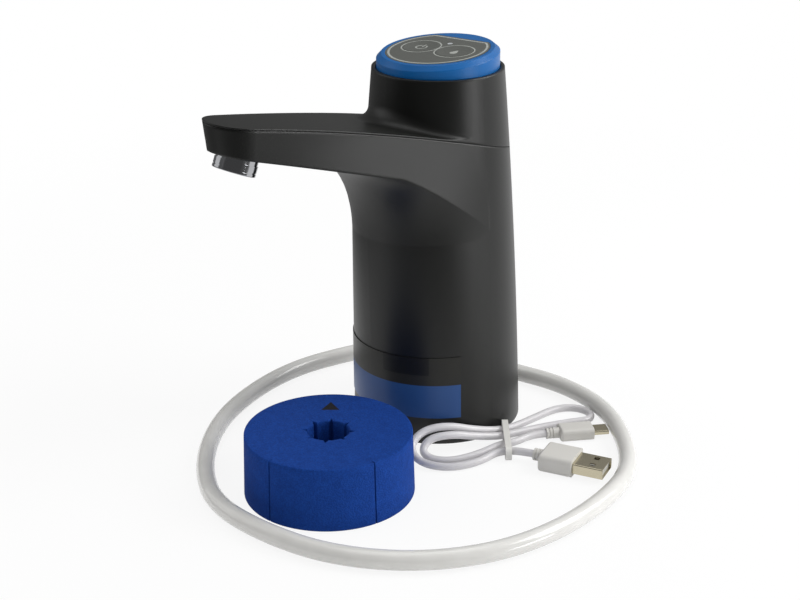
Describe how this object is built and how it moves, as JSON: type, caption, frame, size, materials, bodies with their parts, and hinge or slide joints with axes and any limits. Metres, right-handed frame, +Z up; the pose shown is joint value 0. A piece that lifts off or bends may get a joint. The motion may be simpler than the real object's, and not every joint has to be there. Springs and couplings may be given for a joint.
{
  "type": "electric jerry can tap",
  "caption": "Battery tap that drops into a jerry can's mouth: tapered body, wedge spout, two keys on a tilted crown, with foam bung, hose and charging lead.",
  "frame": {"origin": "centre of the recess in the base, at the level the base stands on", "axes": "+Z up along the body's axis, -Y the way the spout points, +X to the right of somebody who looks along +Y at the spout's tip"},
  "size_m": [0.19, 0.1884, 0.1644],
  "materials": {
    "housing_plastic": "fine satin grain, charcoal",
    "crown_plastic": "satin mid blue",
    "film_plastic": "matte grey film with pale outlines",
    "key_plastic": "matte grey",
    "label_vinyl": "black over blue, left bare",
    "chrome": "polished",
    "bung_foam": "closed-cell foam, royal blue",
    "hose_plastic": "soft milky tube",
    "lead_sheath": "white flexible sheath",
    "tie_plastic": "pale strap",
    "grip_plastic": "pale grey moulded grip",
    "plug_shell": "nickel plated",
    "tongue_plastic": "white",
    "inner_plastic": "plain black",
    "gear_plastic": "white",
    "pipe_plastic": "clear grey",
    "light_plastic": "clear, unlit",
    "board": "green laminate",
    "steel": "plain",
    "seal_rubber": "black",
    "cell_sleeve": "plain sleeve"
  },
  "bodies": {
    "tap": {"lower_housing": "housing_plastic", "upper_housing": "housing_plastic", "housing_screws": "steel", "label": "label_vinyl", "crown_cap": "crown_plastic", "control_film": "film_plastic", "button_switches": "inner_plastic", "light_pipe": "light_plastic", "status_light": "light_plastic", "control_board": "board", "panel_screws": "steel", "outlet_nozzle": "chrome", "flow_straightener": "gear_plastic", "spout_elbow": "inner_plastic", "delivery_pipe": "pipe_plastic", "base_plate": "inner_plastic", "base_screws": "steel", "pump_body": "inner_plastic", "pump_cover": "inner_plastic", "pump_screws": "steel", "shaft_seal": "seal_rubber", "idler_pin": "steel", "motor_can": "steel", "battery_cell": "cell_sleeve", "charge_board": "board", "charge_port": "plug_shell", "board_screws": "steel", "bung": "bung_foam", "suction_hose": "hose_plastic", "lead_cable": "lead_sheath", "lead_tie": "tie_plastic", "wide_plug_body": "grip_plastic", "wide_plug_shell": "plug_shell", "wide_plug_tongue": "tongue_plastic", "small_plug_body": "grip_plastic", "small_plug_shell": "plug_shell"},
    "power_button": {"power_button": "key_plastic"},
    "pour_button": {"pour_button": "key_plastic"},
    "drive": {"drive_gear": "gear_plastic", "motor_shaft": "steel"},
    "driven": {"driven_gear": "gear_plastic"}
  },
  "joints": [
    {"name": "power_button_press", "type": "slide", "parent": "tap", "child": "power_button", "axis": [0, 0.0849, -0.9964], "range_m": [0, 0.0005], "stiffness_N_per_m": 2000, "springref_m": -0.0005},
    {"name": "pour_button_press", "type": "slide", "parent": "tap", "child": "pour_button", "axis": [0, 0.0849, -0.9964], "range_m": [0, 0.0005], "stiffness_N_per_m": 2000, "springref_m": -0.0005},
    {"name": "drive_spin", "type": "hinge", "parent": "tap", "child": "drive", "pos_m": [-0.006, 0.005, 0.034], "axis": [0, 0, 1], "continuous": true},
    {"name": "driven_spin", "type": "hinge", "parent": "tap", "child": "driven", "pos_m": [-0.006, -0.005, 0.034], "axis": [0, 0, 1], "continuous": true}
  ],
  "couplings": [
    {"joint": "driven_spin", "follows": "drive_spin", "ratio": -1}
  ]
}
